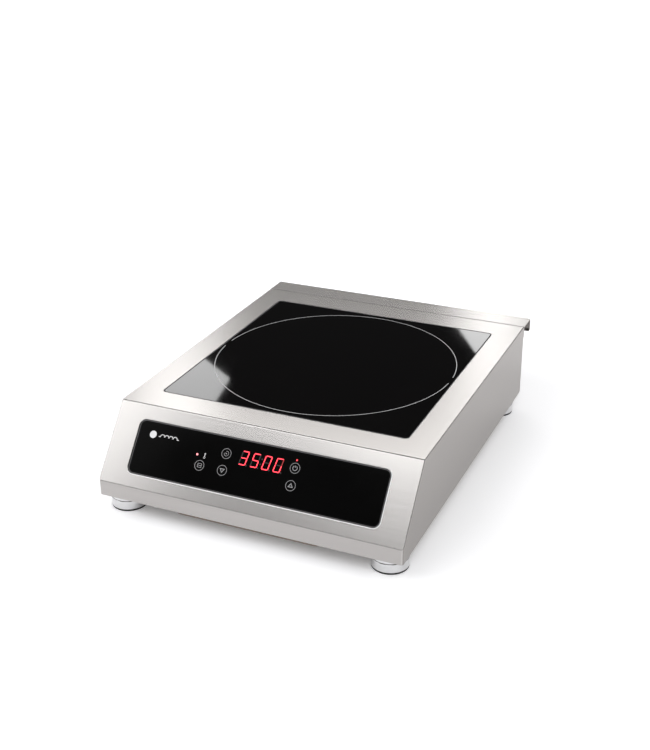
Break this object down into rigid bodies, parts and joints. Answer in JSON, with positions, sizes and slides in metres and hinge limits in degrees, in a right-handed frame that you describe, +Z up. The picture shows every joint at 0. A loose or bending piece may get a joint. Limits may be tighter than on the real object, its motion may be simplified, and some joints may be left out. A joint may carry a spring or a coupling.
{
  "type": "induction hob",
  "caption": "Countertop induction hob: steel body with a sloped touch panel, flush glass cooking surface, rear vent hood, cooling fan, coil and electronics inside, and screw-in levelling feet.",
  "frame": {"origin": "on the table, at the middle of the overall width and depth, rear hood included", "axes": "+X to the right seen from the front, +Y to the back, +Z up"},
  "size_m": [0.327, 0.425, 0.1],
  "materials": {
    "body_steel": "fine lengthwise grain",
    "base_steel": "satin",
    "screws": "satin",
    "cooktop_glass": "polished black glass-ceramic",
    "seal_silicone": "matte",
    "panel_glass": "polished black",
    "black_plastic": "matte",
    "carrier_plastic": "matte",
    "circuit_board": "solder mask",
    "display_plastic": "satin",
    "led_red": "clear red",
    "plated_spring": "bright",
    "brass": "machined",
    "ribbon": "matte",
    "winding_wire": "varnished",
    "ferrite": "matte grey ferrite",
    "mica": "layered sheet",
    "white_silicone": "matte",
    "sensor_steel": "satin",
    "black_rubber": "matte",
    "aluminium": "mill",
    "lead_sleeve": "silicone sleeve",
    "mains_insulation": "insulation",
    "black_epoxy": "moulded",
    "film_capacitor": "moulded",
    "bus_capacitor_case": "moulded",
    "choke_wire": "enamelled",
    "terminal_plastic": "matte",
    "fan_coils": "enamelled wire on laminations",
    "foot_chrome": "polished"
  },
  "bodies": {
    "hob": {"housing": "body_steel", "rear_hood": "body_steel", "rear_panel": "body_steel", "base_plate": "base_steel", "glass_ledge": "base_steel", "base_screws": "screws", "rear_screws": "screws", "hood_rivets": "screws", "board_screws": "screws", "fan_screws": "screws", "foot_nuts": "screws", "glass_plate": "cooktop_glass", "glass_seal": "seal_silicone", "control_overlay": "panel_glass", "control_tray": "black_plastic", "air_duct": "black_plastic", "fan_frame": "black_plastic", "cable_gland": "black_plastic", "gland_cap": "black_plastic", "gland_locknut": "black_plastic", "coil_carrier": "carrier_plastic", "control_board": "circuit_board", "power_board": "circuit_board", "filter_board": "circuit_board", "display_module": "display_plastic", "indicator_leds": "led_red", "touch_springs": "plated_spring", "board_standoffs": "brass", "earth_terminal": "brass", "ribbon_cable": "ribbon", "coil_winding": "winding_wire", "ferrite_bars": "ferrite", "mica_disc": "mica", "sensor_holder": "white_silicone", "temperature_sensor": "sensor_steel", "coil_supports": "black_rubber", "gland_seal": "black_rubber", "coil_tray": "aluminium", "heat_sink": "aluminium", "coil_leads": "lead_sleeve", "mains_leads": "mains_insulation", "power_transistors": "black_epoxy", "bridge_rectifier": "black_epoxy", "resonance_capacitors": "film_capacitor", "filter_capacitors": "film_capacitor", "bus_capacitor": "bus_capacitor_case", "power_choke": "choke_wire", "common_mode_choke": "choke_wire", "terminal_block": "terminal_plastic", "fan_stator": "fan_coils", "foot_collars": "foot_chrome"},
    "fan": {"fan_rotor": "black_plastic"},
    "pad_front_left": {"foot_pad_front_left": "black_rubber"},
    "foot_front_left": {"foot_cup_front_left": "foot_chrome"},
    "pad_front_right": {"foot_pad_front_right": "black_rubber"},
    "foot_front_right": {"foot_cup_front_right": "foot_chrome"},
    "pad_rear_left": {"foot_pad_rear_left": "black_rubber"},
    "foot_rear_left": {"foot_cup_rear_left": "foot_chrome"},
    "pad_rear_right": {"foot_pad_rear_right": "black_rubber"},
    "foot_rear_right": {"foot_cup_rear_right": "foot_chrome"}
  },
  "joints": [
    {"name": "fan_spin", "type": "hinge", "parent": "hob", "child": "fan", "pos_m": [0, -0.075, 0.026], "axis": [0, 0, 1], "continuous": true},
    {"name": "front_left_foot_height", "type": "slide", "parent": "hob", "child": "pad_front_left", "axis": [0, 0, -1], "range_m": [0, 0.005]},
    {"name": "front_left_foot_turn", "type": "hinge", "parent": "pad_front_left", "child": "foot_front_left", "pos_m": [-0.1429, -0.1904, 0.006], "axis": [0, 0, -1], "range_deg": [0, 1440]},
    {"name": "front_right_foot_height", "type": "slide", "parent": "hob", "child": "pad_front_right", "axis": [0, 0, -1], "range_m": [0, 0.005]},
    {"name": "front_right_foot_turn", "type": "hinge", "parent": "pad_front_right", "child": "foot_front_right", "pos_m": [0.1429, -0.1904, 0.006], "axis": [0, 0, -1], "range_deg": [0, 1440]},
    {"name": "rear_left_foot_height", "type": "slide", "parent": "hob", "child": "pad_rear_left", "axis": [0, 0, -1], "range_m": [0, 0.005]},
    {"name": "rear_left_foot_turn", "type": "hinge", "parent": "pad_rear_left", "child": "foot_rear_left", "pos_m": [-0.1429, 0.1592, 0.006], "axis": [0, 0, -1], "range_deg": [0, 1440]},
    {"name": "rear_right_foot_height", "type": "slide", "parent": "hob", "child": "pad_rear_right", "axis": [0, 0, -1], "range_m": [0, 0.005]},
    {"name": "rear_right_foot_turn", "type": "hinge", "parent": "pad_rear_right", "child": "foot_rear_right", "pos_m": [0.1429, 0.1592, 0.006], "axis": [0, 0, -1], "range_deg": [0, 1440]}
  ],
  "couplings": [
    {"joint": "front_left_foot_turn", "follows": "front_left_foot_height", "rad_per_m": 5026.5},
    {"joint": "front_right_foot_turn", "follows": "front_right_foot_height", "rad_per_m": 5026.5},
    {"joint": "rear_left_foot_turn", "follows": "rear_left_foot_height", "rad_per_m": 5026.5},
    {"joint": "rear_right_foot_turn", "follows": "rear_right_foot_height", "rad_per_m": 5026.5}
  ]
}
